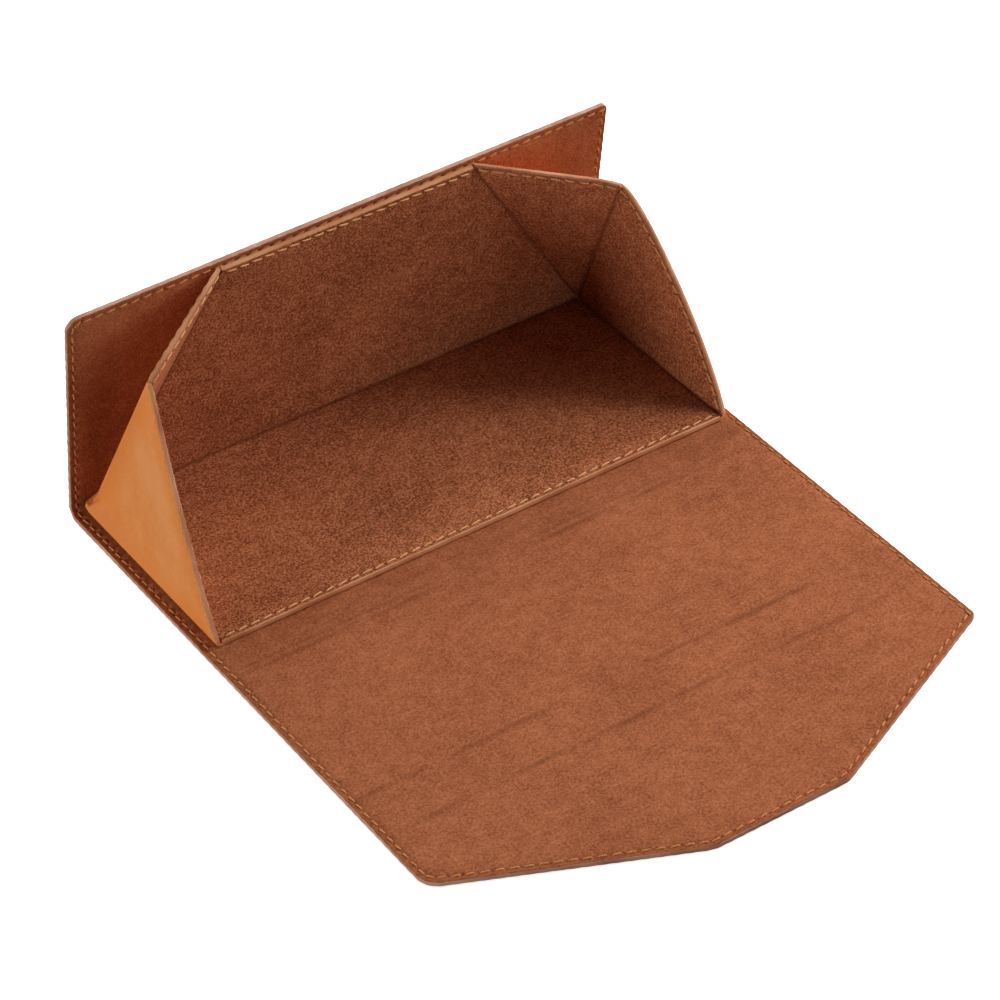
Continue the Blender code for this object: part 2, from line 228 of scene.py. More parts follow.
# ---------------- surfaces
class Seam:
    """One kind of stitching along a rim, and the relief it leaves."""

    def __init__(self, inset, pitch, length, radius, groove, hole, scallop, start=0.0, end=math.inf):
        self.inset, self.pitch, self.length, self.radius = inset, pitch, length, radius
        self.groove, self.hole, self.scallop = groove, hole, scallop
        self.start, self.end = start, end

    def phase(self, along):
        """How far from the nearest needle hole, along the seam."""
        turns = (along - self.start) / self.pitch
        return (turns - np.round(turns)) * self.pitch

    def runs(self, along):
        """Whether the seam has reached a place and not ended before it."""
        return (along > self.start - 0.4) & (along < self.end + 0.4)

    def relief(self, distance, along):
        """How deep the thread has pulled the surface in."""
        groove = self.groove * np.exp(-(((distance - self.inset) / 0.55) ** 2))
        return groove * self.runs(along) + self.hole * self.holes(distance, along)

    def holes(self, distance, along):
        """1 at a needle hole, falling to 0 around it."""
        off = (self.phase(along) / 0.45) ** 2 + ((distance - self.inset) / 0.42) ** 2
        return np.exp(-off) * self.runs(along)

    def pull(self, distance, along):
        """How far the edge is drawn in beside each needle hole."""
        wave = 0.5 + 0.5 * np.cos(2 * math.pi * self.phase(along) / self.pitch)
        return self.scallop * wave * np.exp(-distance / 0.9) * self.runs(along)


def smooth(value, low, high):
    """0 below low, 1 above high, and a smooth step between them."""
    share = np.clip((value - low) / (high - low), 0, 1)
    return share * share * (3 - 2 * share)


def ripple(points, size, seed):
    """Smooth, repeatable unevenness between about -1 and 1."""
    total = np.zeros(len(points))
    for k in range(5):
        angle = 2.4 * k + seed
        wave = 2 * math.pi / (size * (0.7 + 0.17 * k))
        place = points[:, 0] * math.cos(angle) + points[:, 1] * math.sin(angle)
        total += np.sin(place * wave + 1.7 * seed * (k + 1))
    return total / 3


def edge_round(distance, radius, depth):
    """The drop of a rounded edge near its rim."""
    share = np.clip(1 - distance / radius, 0, 1)
    return depth * (1 - np.sqrt(1 - share**2))


def write_uv(mesh, name, values):
    """A UV map from one pair of values for each vertex."""
    layer = mesh.uv_layers.new(name=name)
    corners = np.zeros(len(mesh.loops), int)
    mesh.loops.foreach_get("vertex_index", corners)
    layer.data.foreach_set("uv", np.array(values)[corners].ravel().astype(np.float32))


def new_mesh(name, vertices, faces):
    """A mesh from vertices in millimetres."""
    mesh = bpy.data.meshes.new(name)
    mesh.from_pydata((np.array(vertices) * MM).tolist(), [], faces)
    return mesh


def new_object(name, data):
    """An object of the given mesh, light or camera, in the scene."""
    item = bpy.data.objects.new(name, data)
    bpy.context.scene.collection.objects.link(item)
    return item


def finish_piece(mesh, sharp):
    """The mesh's own object, its faces outward, and smooth up to a sharp angle in degrees."""
    work = bmesh.new()
    work.from_mesh(mesh)
    bmesh.ops.recalc_face_normals(work, faces=work.faces)
    work.to_mesh(mesh)
    work.free()
    mesh.polygons.foreach_set("use_smooth", [True] * len(mesh.polygons))
    mesh.set_sharp_from_angle(angle=math.radians(sharp))
    mesh.update()
    return new_object(mesh.name, mesh)


def shell(name, faces, top, bottom):
    """A closed mesh between two surfaces of the same layout, and its polygons."""
    count = len(top)
    uses = {}
    for face in faces.tolist():
        for a, b in zip(face, face[1:] + face[:1]):
            uses.setdefault((min(a, b), max(a, b)), []).append((a, b))
    walls = [(b, a, a + count, b + count) for (a, b), *more in uses.values() if not more]
    polygons = faces.tolist() + (faces[:, ::-1] + count).tolist() + walls
    return new_mesh(name, np.vstack((top, bottom)), polygons), polygons


def ring_faces(rings, sides, base=0):
    """The faces between rings of vertices, with the two end caps last."""
    faces = []
    for i in range(rings - 1):
        for j in range(sides):
            a, b = base + i * sides + j, base + i * sides + (j + 1) % sides
            faces.append((a, b, b + sides, a + sides))
    last = base + (rings - 1) * sides
    faces.append([base + j for j in range(sides)])
    faces.append([last + j for j in reversed(range(sides))])
    return faces


def panel(
    outline, rim, place, pieces, seam, skins, *,
    drop, bevel, edge_width, seed, uneven, rows=(), press=(), creases=(), rings=(), shift=(0, 0)
):
    """The leather and lining of one wall, as closed pieces of the layout's outline.

    pieces gives their names: {"leather": name, "lining": name}, or one of them. drop is how far the
    suede is pressed down at the rim. press has lines at one v each, creases the folds' ends, and rings
    the marks of round things under the suede.
    """
    flat, faces = flat_mesh(outline, rim, rows)
    distance, along, inward = rim.measure(flat)
    reach = smooth(distance, 0, 4.0)  # 0 at the rim, 1 where the wall has its whole thickness
    drop = drop * (1 - reach)
    groove = seam.relief(distance, along)
    moved = flat + inward * seam.pull(distance, along)[:, None]
    uneven = uneven * ripple(flat, 37, seed) * reach
    suede = WALL - drop - edge_round(distance, bevel, bevel) - groove + uneven
    for line, width, depth in press:
        strength = depth * (0.75 + 0.25 * ripple(flat, 60, line))
        off = (flat[:, 1] - line) / width
        suede = suede - strength * np.exp(-(off**2)) * smooth(distance, 1, 9)
    fold = np.full(len(flat), FAR)
    for crease in creases:
        fold = np.minimum(fold, Rim([crease[:2], crease[2:]]).measure(flat)[0])
    suede = suede - 0.1 * np.exp(-((fold / 0.8) ** 2))
    for u, v, radius, depth in rings:
        off = np.hypot(flat[:, 0] - u, flat[:, 1] - v) - radius
        suede = suede - depth * np.exp(-((off / 0.9) ** 2))
    split = WALL - LINING - drop
    outer = edge_round(distance, bevel, bevel * 0.8) + groove * 0.7
    inner = LEATHER + (split - 0.02 - LEATHER) * (1 - reach)
    # the distances to the rim and to the creases, and the needle holes, by which the materials paint shade
    # there
    marks = np.stack((distance, fold), 1).clip(0, FAR) / FAR
    holes = np.stack((seam.holes(distance, along), 0 * distance), 1)
    near_rim = np.tile(distance, 2) < edge_width
    made, surfaces = {}, {"leather": (inner, outer), "lining": (suede, split)}
    for layer, piece in pieces.items():
        high, low = surfaces[layer]
        low = np.minimum(low, high - 0.08)
        mesh, polygons = shell(piece, faces, place(*moved.T, high), place(*moved.T, low))
        heights = 0.7 * np.concatenate((high, low))[:, None]
        write_uv(mesh, "flat", (np.tile(flat, (2, 1)) + heights) / 100 + np.array(shift))
        write_uv(mesh, "marks", np.tile(marks, (2, 1)))
        write_uv(mesh, "holes", np.tile(holes, (2, 1)))
        for skin in skins[layer]:
            mesh.materials.append(skin)
        slots = [int(near_rim[list(polygon)].all()) for polygon in polygons]
        mesh.polygons.foreach_set("material_index", slots)
        made[layer] = finish_piece(mesh, sharp=48)
    return made


def stitches(name, rim, seam, place, height, outward, material, seed, keep=None):
    """A row of stitches, each a sunk, slanted bar of thread. outward is 1 on suede, -1 on leather."""
    rings, sides = 9, 8
    draw = np.random.default_rng(seed)
    first, last = seam.start + seam.pitch / 2, min(seam.end, rim.length) - seam.pitch / 2
    spots, along, inward = rim.at(np.arange(first, last + 0.01, seam.pitch))
    if keep is not None:
        chosen = keep(spots)
        spots, along, inward = spots[chosen], along[chosen], inward[chosen]
    vertices, faces, uvs = [], [], []
    for k in range(len(spots)):
        slant = math.radians(7) * outward + draw.normal(0, 0.03)
        length = seam.length * (1 + draw.normal(0, 0.04))
        middle = spots[k] + inward[k] * (seam.inset + draw.normal(0, 0.04))
        ahead = along[k] * math.cos(slant) + inward[k] * math.sin(slant)
        beside = inward[k] * math.cos(slant) - along[k] * math.sin(slant)
        faces += ring_faces(rings, sides, len(vertices))
        for i in range(rings):
            s = 2 * i / (rings - 1) - 1
            radius = seam.radius * math.sqrt(max(0.0, 1 - abs(s) ** 5)) * 0.98 + 0.02
            lift = 0.6 * seam.radius - 0.42 * seam.radius * 2.2 * s**4
            for j in range(sides):
                turn = 2 * math.pi * j / sides
                spot = middle + ahead * (s * length / 2) + beside * (radius * math.cos(turn))
                vertices.append((*spot, height + outward * (lift + radius * math.sin(turn))))
                uvs.append((s * length / 200 + k * 0.05, j / sides))
    mesh = new_mesh(name, place(*np.array(vertices).T), faces)
    write_uv(mesh, "flat", uvs)
    mesh.materials.append(material)
    return finish_piece(mesh, sharp=60)


def leather_tube(name, vertices, uvs, rings, shift, mark, skins, sharp):
    """A closed tube through rings of vertices, its end caps in the last of the skins."""
    mesh = new_mesh(name, vertices, ring_faces(rings, len(vertices) // rings))
    write_uv(mesh, "flat", np.array(uvs) / 100 + np.array(shift))
    # mark is the tube's distance from a fold in the marks map, which sets the leather's painted fold shade
    write_uv(mesh, "marks", [(1.0, mark)] * len(uvs))
    for skin in skins:
        mesh.materials.append(skin)
    for cap in list(mesh.polygons)[-2:]:
        cap.material_index = len(skins) - 1
    return finish_piece(mesh, sharp)


def knuckle(name, origin, along, start, turn, length, skins, shift, bend=None):
    """The outer leather round a crease: a sector about the crease line, from the start direction."""
    along, start = np.array(along), np.array(start)
    cross = np.cross(along, start)
    steps, core = 12, 0.55
    count = 60 if bend else 24
    vertices, uvs = [], []
    for i in range(count + 1):
        place = origin + along * (length * i / count)
        if bend:
            place = place + bend(place)
        vertices.append(place + core * (start * math.cos(turn / 2) + cross * math.sin(turn / 2)))
        uvs.append((length * i / count, 0))
        for j in range(steps + 1):
            angle = turn * j / steps
            vertices.append(place + WALL * (start * math.cos(angle) + cross * math.sin(angle)))
            uvs.append((length * i / count, WALL * angle))
    # 0.3 puts the roll 3 mm from a fold, for part of the leather's painted fold shade
    return leather_tube(name, vertices, uvs, count + 1, shift, 0.3, skins, sharp=40)


def crease_cover(name, corner, along, length, start, end, more, skins, shift, bend):
    """The rolled leather round a crease up from the corner, from one direction to another and more."""
    turn = math.acos(np.clip(start @ end, -1, 1)) + more
    if np.cross(along, start) @ end > 0:
        return knuckle(name, corner, along, start, turn, length, skins, shift, bend)
    # a sector always turns one way about its line, so here the line runs down to the corner
    return knuckle(name, corner + along * length, -along, start, turn, length, skins, shift, bend)


def corner_ear(name, corner, side, pinch, shift):
    """The small ear of leather where three of the tray's folds meet.

    Where the crease above it is pinched in, it starts further in and higher.
    """
    rings, sides = 17, 20
    root = EAR_ROOT - 0.5 * pinch
    vertices, uvs = [], []
    for i in range(rings):
        share = i / (rings - 1)
        s = math.sin(share * math.pi / 2)
        out = side * (root + (EAR_REACH + EAR_ROOT - root) * s)
        rise = 1.1 * (1 - s) * pinch / 2.8 + 0.8 * s * s
        size = (0.95 - 0.38 * s) * math.sqrt(max(0.0, 1 - share**7)) + 0.003
        for j in range(sides):
            turn = 2 * math.pi * j / sides
            spoke = np.array((0.55 * side * math.sin(turn) * s, 1.5 * math.cos(turn), 1.75 * math.sin(turn)))
            vertices.append(corner + np.array((out, -0.3 * s, rise)) + spoke * size)
            uvs.append((EAR_REACH * s, 1.7 * turn))
    # 0.02 gives the ear nearly the whole of the leather's painted fold shade
    return leather_tube(name, vertices, uvs, rings, shift, 0.02, (outer_leather,), sharp=70)


# ---------------- materials
def linear(channel):
    """A screen colour's channel, 0 to 1, as linear light."""
    return channel / 12.92 if channel <= 0.04045 else ((channel + 0.055) / 1.055) ** 2.4


def colour(red, green, blue, gain=1.0):
    """A screen colour of 0 to 255 as a linear one."""
    return (*(min(1.0, linear(c / 255) * gain) for c in (red, green, blue)), 1)


class Nodes:
    """A small builder for one material's node tree. Sizes are in millimetres."""

    def __init__(self, name):
        self.material = bpy.data.materials.new(name)
        self.material.use_nodes = True
        self.tree = self.material.node_tree
        self.shader = self.tree.nodes["Principled BSDF"]

    def put(self, socket, value):
        """Link a socket to another, or set its own value."""
        if isinstance(value, bpy.types.NodeSocket):
            self.tree.links.new(value, socket)
        else:
            socket.default_value = value

    def make(self, kind, inputs=(), **settings):
        """A node with its inputs and its other settings."""
        node = self.tree.nodes.new(kind)
        for key, value in settings.items():
            setattr(node, key, value)
        for key, value in dict(inputs).items():
            self.put(node.inputs[key], value)
        return node

    def flat(self, stretch=(1, 1, 1), turn=0.0):
        """The flat layout's places, stretched and turned, in 100 mm."""
        layout = self.make("ShaderNodeUVMap", uv_map="flat").outputs["UV"]
        inputs = {"Vector": layout, "Scale": stretch, "Rotation": (0, 0, turn)}
        return self.make("ShaderNodeMapping", inputs).outputs["Vector"]

    def split(self, vector):
        """A vector's first two parts."""
        parts = self.make("ShaderNodeSeparateXYZ", {"Vector": vector}).outputs
        return parts["X"], parts["Y"]

    def values(self, uv_map):
        """The two values that a UV map holds."""
        return self.split(self.make("ShaderNodeUVMap", uv_map=uv_map).outputs["UV"])

    def noise(self, vector, size, detail=2.0, rough=0.5, distortion=0.0):
        """Noise whose features are about size across."""
        inputs = {"Vector": vector, "Scale": 100 / size, "Detail": detail, "Roughness": rough}
        return self.make("ShaderNodeTexNoise", {**inputs, "Distortion": distortion}).outputs["Fac"]

    def cells(self, vector, size):
        """The distance to the border between cells about size across."""
        inputs = {"Vector": vector, "Scale": 100 / size}
        return self.make("ShaderNodeTexVoronoi", inputs, feature="DISTANCE_TO_EDGE").outputs["Distance"]

    def maths(self, operation, first, second=0.0, third=0.0):
        node = self.make("ShaderNodeMath", operation=operation)
        for socket, value in zip(node.inputs, (first, second, third)):
            self.put(socket, value)
        return node.outputs[0]

    def spread(self, value, low, high, to_low=0.0, to_high=1.0):
        """A value's range moved to another, and held inside it."""
        inputs = {"Value": value, "From Min": low, "From Max": high, "To Min": to_low, "To Max": to_high}
        return self.make("ShaderNodeMapRange", inputs).outputs["Result"]

    def mix(self, share, first, second):
        """A mix of two colours, by the Mix node's colour sockets."""
        node = self.make("ShaderNodeMix", {0: share, 6: first, 7: second}, data_type="RGBA")
        return node.outputs[2]

    def shades(self, tone, dark, base, light, dark_range, light_range):
        """Dark, base and light colours over a tone's two ranges."""
        shade = self.mix(self.spread(tone, *dark_range), colour(*dark), colour(*base))
        return self.mix(self.spread(tone, *light_range), shade, colour(*light))

    def bump(self, height, distance, strength):
        """A normal from a height, for a relief of about the distance."""
        inputs = {"Height": height, "Distance": distance * MM, "Strength": strength}
        return self.make("ShaderNodeBump", inputs).outputs["Normal"]

    def weigh(self, total, *parts):
        """A total, and what each (value, low, high, weight) adds to it."""
        for value, low, high, weight in parts:
            total = self.maths("MULTIPLY_ADD", self.spread(value, low, high), weight, total)
        return total

    def finish(self, shade, rough, bump, **values):
        """Set the shader's sockets. rough and bump are what spread and bump take."""
        values.update({"Base_Color": shade, "Roughness": self.spread(*rough), "Normal": self.bump(*bump)})
        for key, value in values.items():
            self.put(self.shader.inputs[key.replace("_", " ")], value)
        return self.material


def press_and_shade_bands(n, press):
    """Broken, slightly wandering bands along the layout, for (line, width, strength) marks: press lines,
    painted shade and a painted shadow.
    """
    wander = n.maths("MULTIPLY_ADD", n.noise(n.flat((1, 0.2, 1)), 14, 2), 0.014, -0.007)
    place = n.maths("ADD", n.split(n.flat())[1], wander)
    mark = None
    for line, width, strength in press:
        off = n.maths("ABSOLUTE", n.maths("SUBTRACT", place, line / 100))
        band = n.spread(off, 0.0, width / 100, strength, 0.0)
        mark = band if mark is None else n.maths("MAXIMUM", mark, band)
    broken = n.spread(n.noise(n.flat((0.35, 1, 1)), 7, 3), 0.4, 0.6, 0.1, 1.0)
    return n.maths("MULTIPLY", mark, broken)


def suede(name, base, dark, light, speckle, press=()):
    """Microfibre suede: a fine speckled nap and faint brushed patches, with painted shade in creases, along
    the pressed rim and in needle holes, and press marks with painted shade and shadow in them.
    """
    n = Nodes(name)
    flat = n.flat()
    patches = n.noise(flat, 26, 3, 0.5, 0.3)
    nap = n.noise(flat, 4.0, 4, 0.6, 0.2)
    grain = n.noise(flat, 0.85, 2, 0.5)
    fibre = n.noise(flat, 0.45, 1, 0.5)
    fine = 0.36 * speckle
    tone = n.weigh(0.395 - fine, (patches, 0.3, 0.7, 0.09), (nap, 0.28, 0.72, 0.16))
    tone = n.weigh(tone, (grain, 0.25, 0.75, fine), (fibre, 0.25, 0.75, fine))
    shade = n.shades(tone, dark, base, light, (0.3, 0.5), (0.5, 0.72))
    to_rim, to_fold = n.values("marks")
    # painted shade: darker within about 0.9 mm of a crease, and along the pressed-down rim within 2.4 mm
    fold = n.spread(to_fold, 0.0, 0.09, 0.44, 0.0)
    pressed = n.spread(to_rim, 0.06, 0.24, 0.14, 0.0)
    shade = n.mix(n.maths("MAXIMUM", fold, pressed), shade, colour(*dark, 0.55))
    # painted shade in the needle holes
    hole = n.values("holes")[0]
    shade = n.mix(n.spread(hole, 0.25, 0.9, 0.0, 0.45), shade, colour(*dark, 0.45))
    # press lines, and painted shade and shadow bands, darken the suede
    if press:
        shade = n.mix(press_and_shade_bands(n, press), shade, colour(*dark, 0.7))
    height = n.maths("MULTIPLY_ADD", fibre, 0.6, n.maths("MULTIPLY", grain, 0.6))
    return n.finish(
        shade, (grain, 0.2, 0.8, 0.98, 0.88), (height, 0.22 * speckle, 0.7),
        Sheen_Weight=0.06, Sheen_Roughness=0.6, Sheen_Tint=colour(220, 140, 95), Specular_IOR_Level=0.08,
    )


def leather(name, base, dark, light):
    """Smooth tan leather: pebbled grain, soft wrinkles, cloudy dye, and painted shade that deepens and
    darkens the colour along rims and folds.
    """
    n = Nodes(name)
    flat = n.flat()
    cloud = n.noise(flat, 30, 3, 0.5, 0.5)
    streak = n.noise(n.flat((1, 0.35, 1), 0.5), 9, 3, 0.55, 0.6)
    pebble = n.cells(flat, 0.62)
    wrinkle = n.noise(flat, 2.1, 4, 0.62, 1.2)
    pores = n.noise(flat, 0.35, 2, 0.6)
    tone = n.weigh(0.1, (cloud, 0.3, 0.7, 0.4), (streak, 0.3, 0.7, 0.16), (wrinkle, 0.3, 0.7, 0.2))
    shade = n.shades(tone, dark, base, light, (0.1, 0.55), (0.5, 0.95))
    # painted shade: deeper, darker colour within about 7.5 mm of a rim or fold, its reach wandering with the
    # cloud
    near = n.maths("MINIMUM", *n.values("marks"))
    near = n.maths("ADD", near, n.maths("MULTIPLY_ADD", cloud, 0.4, -0.2))
    shade = n.mix(n.spread(near, 0.0, 0.75, 0.75, 0.0), shade, colour(*dark))
    shade = n.mix(n.spread(pebble, 0.0, 0.16, 0.28, 0.0), shade, colour(*dark, 0.8))
    shade = n.mix(n.spread(pores, 0.3, 0.7, 0.25, 0.0), shade, colour(*dark, 0.8))
    height = n.maths("MULTIPLY_ADD", wrinkle, 1.0, n.maths("MULTIPLY", pores, 0.3))
    height = n.maths("MULTIPLY_ADD", n.spread(pebble, 0.0, 0.12), 0.35, height)
    return n.finish(shade, (tone, 0.2, 0.8, 0.54, 0.41), (height, 0.12, 0.6), Specular_IOR_Level=0.3)


def cut_edge(name, base, dark, light):
    """Burnished cut leather: fine fibres under a thin dressing."""
    n = Nodes(name)
    fibres = n.noise(n.flat(), 0.45, 3, 0.6, 0.3)
    patches = n.noise(n.flat(), 12, 2, 0.5)
    tone = n.weigh(0.0, (patches, 0.3, 0.7, 0.6), (fibres, 0.25, 0.75, 0.4))
    shade = n.shades(tone, dark, base, light, (0.2, 0.55), (0.5, 0.85))
    return n.finish(shade, (fibres, 0.2, 0.8, 0.62, 0.48), (fibres, 0.08, 0.4), Specular_IOR_Level=0.35)


def thread(name, base, dark):
    """Waxed, twisted thread, one turn of its plies every 0.55 mm."""
    n = Nodes(name)
    along, around = n.split(n.flat())
    turns = n.maths("MULTIPLY_ADD", along, 100 / 0.55, n.maths("MULTIPLY", around, 2))
    ply = n.maths("SINE", n.maths("MULTIPLY", turns, 2 * math.pi))
    fuzz = n.noise(n.flat((1, 0.02, 1)), 0.15, 2)
    # painted shade in the grooves between the plies
    shade = n.mix(n.spread(ply, -1.0, 0.4), colour(*dark), colour(*base))
    shade = n.mix(n.spread(fuzz, 0.35, 0.75, 0.0, 0.5), shade, colour(*dark))
    rough = (fuzz, 0.2, 0.8, 0.5, 0.68)
    return n.finish(shade, rough, (ply, 0.06, 0.8), Sheen_Weight=0.15, Specular_IOR_Level=0.4)


def solid_texture(n, size, detail=3.0):
    """Noise over a CAD node or the floor, by its own position."""
    place = n.make("ShaderNodeTexCoord").outputs["Object"]
    inputs = {"Vector": place, "Scale": 1000 / size, "Detail": detail}
    return n.make("ShaderNodeTexNoise", inputs).outputs["Fac"]


def pulp_board():
    """Grey-brown flecked board, inside the walls."""
    n = Nodes("pulp_board")
    flecks = solid_texture(n, 0.8)
    shade = n.mix(n.spread(flecks, 0.3, 0.7), colour(140, 126, 106), colour(182, 170, 150))
    return n.finish(shade, (flecks, 0.2, 0.8, 0.95, 0.85), (flecks, 0.1, 0.4))


def plated_magnet():
    """Scuffed nickel plating, inside the tongue and the back panel."""
    n = Nodes("plated_magnet")
    scuffs = solid_texture(n, 1.4, 5)
    shade = n.mix(n.spread(scuffs, 0.3, 0.7), colour(150, 150, 152), colour(196, 196, 198))
    return n.finish(shade, (scuffs, 0.2, 0.8, 0.24, 0.42), (scuffs, 0.02, 0.3), Metallic=1.0)


FRONT_LINES, TONGUE_LINES = (79.5, 82.0), (138.0, 153.0)  # the boards' edges, under the sheet's suede
# darker bands across the sheet's suede, by place along it: a painted contact shadow just in front of the
# tray's front edge (70.5), a broad painted shade over the front fold (74.5), and the press lines over the
# boards' edges (pressed nap with painted shade in their grooves)
PRESS_AND_SHADE_BANDS = (
    (70.5, 0.9, 0.35), (74.5, 7.5, 0.3), (FRONT_LINES[0], 1.0, 0.4), (FRONT_LINES[1], 1.3, 0.55),
    *((line, 1.3, 0.5) for line in TONGUE_LINES),
)
sheet_suede = suede("sheet_suede", (163, 94, 60), (126, 67, 41), (192, 118, 80), 0.8, PRESS_AND_SHADE_BANDS)
tray_suede = suede("tray_suede", (163, 94, 60), (108, 56, 34), (214, 135, 93), 1.15)
outer_leather = leather("outer_leather", (248, 164, 97), (236, 134, 54), (252, 176, 118))
sheet_edge = cut_edge("sheet_cut_edge", (206, 150, 122), (180, 122, 94), (222, 172, 146))
soft_edge = cut_edge("soft_cut_edge", (180, 116, 82), (150, 90, 60), (196, 134, 100))
tray_edge = cut_edge("tray_cut_edge", (208, 140, 96), (184, 114, 72), (220, 156, 114))
sheet_thread = thread("sheet_thread", (246, 166, 84), (186, 98, 38))
tray_thread = thread("tray_thread", (255, 206, 138), (232, 152, 84))
board, plated = pulp_board(), plated_magnet()

SKINS = {  # of each layer's face and cut edge
    "sheet": {"leather": (outer_leather, sheet_edge), "lining": (sheet_suede, sheet_edge)},
    "tray": {"leather": (outer_leather, tray_edge), "lining": (tray_suede, tray_edge)},
    "gusset": {"leather": (outer_leather, tray_edge), "lining": (tray_suede, soft_edge)},
}
LAYER_NAMES = {"leather": "hide", "lining": "suede"}

# ---------------- the outer sheet
# places along the sheet, t, from the rear fold to the front
TOP = -(WRAP + BACK_HEIGHT)
FRONT_T, TONGUE_T = REAR[1] - FRONT_FOLD_Y, REAR[1] - TONGUE_FOLD_Y
BASE_CUT, FRONT_CUT = REAR[1], FRONT_T + 38  # where the sheet is divided, away from its folds
SHOULDER, TIP = TONGUE_T + TONGUE_SHOULDER, TONGUE_T + TONGUE_REACH
SHEET_DROP = 0.35
MAGNET_MARK = (0, TONGUE_T + 36.2, 6.4, 0.05)  # its middle, radius and depth


def sheet_place(x, t, h):
    """The sheet's flat layout to places in the frame."""
    radius = SHEET_OFFSET + WALL - h
    turn = np.clip(-t, 0, WRAP) / WRAP * (math.pi / 2 + BACK_TURN) - math.pi / 2
    rise = np.clip(-t - WRAP, 0, None)
    y = REAR[1] + radius * np.cos(turn) - np.clip(t, 0, None) + rise * BACK_UP[1]
    z = REAR[2] + radius * np.sin(turn) + rise * BACK_UP[2]
    return np.stack((x + 0 * y, y, z), 1)


# the roundings differ from corner to corner, as on the hand-cut original
sheet_corners = [
    (-SHEET_HALF, TOP, 4.0),
    (-SHEET_HALF, SHOULDER, 6.5),
    (-TIP_HALF, TIP, 8.0),
    (TIP_HALF, TIP, 8.0),
    (SHEET_HALF, SHOULDER, 2.6),
    (SHEET_HALF, TOP, 1.8),
]
sheet_rim = Rim(rounded(sheet_corners), closed=True, inside=(0, 60))
stitch_count = round(sheet_rim.length / 3.5)
sheet_seam = Seam(
    inset=1.55, pitch=sheet_rim.length / stitch_count, length=2.5, radius=0.2, groove=0.07,
    hole=0.2, scallop=0.09,
)
base_cut = [(-SHEET_HALF, BASE_CUT, 0), (SHEET_HALF, BASE_CUT, 0)]
front_cut = [(-SHEET_HALF, FRONT_CUT, 0), (SHEET_HALF, FRONT_CUT, 0)]
# each piece's outline, the fold it crosses, its stretch of the rim, its extra rows of points, its press
# lines, and the CAD panels and thread it stands for
sheet_pieces = {
    "rear": {
        "corners": [sheet_corners[0], *base_cut, sheet_corners[5]],
        "join": ("base", "back", (0, 34, 0), (0, 37.72, 4.56)),
        "range": (-math.inf, BASE_CUT),
        "rows": [-WRAP * k / 8 for k in range(-1, 10)],
        "press": [],
        "panels": ("base", "back_fold", "back"),
        "thread": ("base_seam_left", "base_seam_right", "back_seam_left", "back_seam_right"),
    },
    "middle": {
        "corners": [base_cut[0], front_cut[0], front_cut[1], base_cut[1]],
        "join": ("base", "front", (0, FRONT_FOLD_Y + 1.5, 0), (0, FRONT_FOLD_Y - 5.5, 0)),
        "range": (BASE_CUT, FRONT_CUT),
        "rows": [FRONT_T + k * 0.7 for k in range(-3, 10)] + [79.5, 80.8, 81.4, 82, 82.6, 83.2],
        "press": [(FRONT_LINES[1], 1.1, 0.16), (FRONT_LINES[0], 0.9, 0.08)],
        "panels": ("front",),
        "thread": ("front_seam_left", "front_seam_right"),
    },
    "front": {
        "corners": [front_cut[0], *sheet_corners[1:5], front_cut[1]],
        "join": ("front", "tongue", (0, TONGUE_FOLD_Y + 4, 0), (0, TONGUE_FOLD_Y - 4, 0)),
        "range": (FRONT_CUT, math.inf),
        "rows": [TONGUE_T + k * 0.8 for k in range(-11, 13)] + [151.8, 152.4, 153, 153.6, 154.2],
        "press": [(line, 1.2, 0.14) for line in TONGUE_LINES],
        "panels": ("tongue",),
        "thread": ("tongue_seam",),
    },
}


def join(piece, body, other, start, end):
    """Bake the piece's place in the frame into its mesh. body, other, start and end are not used."""
    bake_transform(piece)


for seed, (key, part) in enumerate(sheet_pieces.items()):
    names = {layer: f"sheet_{key}_{LAYER_NAMES[layer]}" for layer in ("leather", "lining")}
    made = panel(
        rounded(part["corners"]), sheet_rim, sheet_place, names, sheet_seam, SKINS["sheet"],
        drop=SHEET_DROP, bevel=0.25, edge_width=0.27, seed=1.0, uneven=0.08,
        rows=part["rows"], press=part["press"], rings=[MAGNET_MARK],
    )
    for layer, piece in made.items():
        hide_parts(*(f"{node}_{layer}" for node in part["panels"]))
        join(piece, *part["join"])

    def chosen(spots, low=part["range"][0], high=part["range"][1]):
        """The stitches whose middles are in this piece."""
        return (spots[:, 1] > low) & (spots[:, 1] <= high)

    # at the seam the suede has 0.69 of its drop at the rim, and the thread is sunk in it
    for face, height, outward in (("inner", WALL - SHEET_DROP * 0.69 - 0.05, 1), ("outer", 0.08, -1)):
        name = f"sheet_{key}_stitches_{face}"
        row = stitches(name, sheet_rim, sheet_seam, sheet_place, height, outward, sheet_thread, seed, chosen)
        if face == "inner":
            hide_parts(*part["thread"])
        join(row, *part["join"])

# ---------------- the tray
TRAY_SEAM = {
    "inset": 1.35, "pitch": 3.75, "length": 3.0, "radius": 0.19, "groove": 0.08, "hole": 0.16, "scallop": 0.05
}
RIM_DROP = {"tray": 0.2, "gusset": 0.5}


def crease_push(along):
    """The share of an end wall's pinch at a distance up its crease from the corner."""
    return smooth(along, *PINCH_RISE) * np.clip(1 - along / TRAY_DEPTH, 0, None)


def wall_pinch(u, v, peak):
    """The same over a wall's layout, where peak is the upper end of the crease.

    A rear wall, whose crease is the less steep, has the back wall's crease on its other side, so its
    share goes with the distance from the corner.
    """
    low = np.clip(v, 0, None)
    if peak[0] > peak[1]:
        return crease_push(np.hypot(u, v))
    start, full = PINCH_RISE
    return smooth(low, start * TALL, full * TALL) * np.clip(1 - (u + low / math.sqrt(3)) / TRAY_DEPTH, 0, 1)


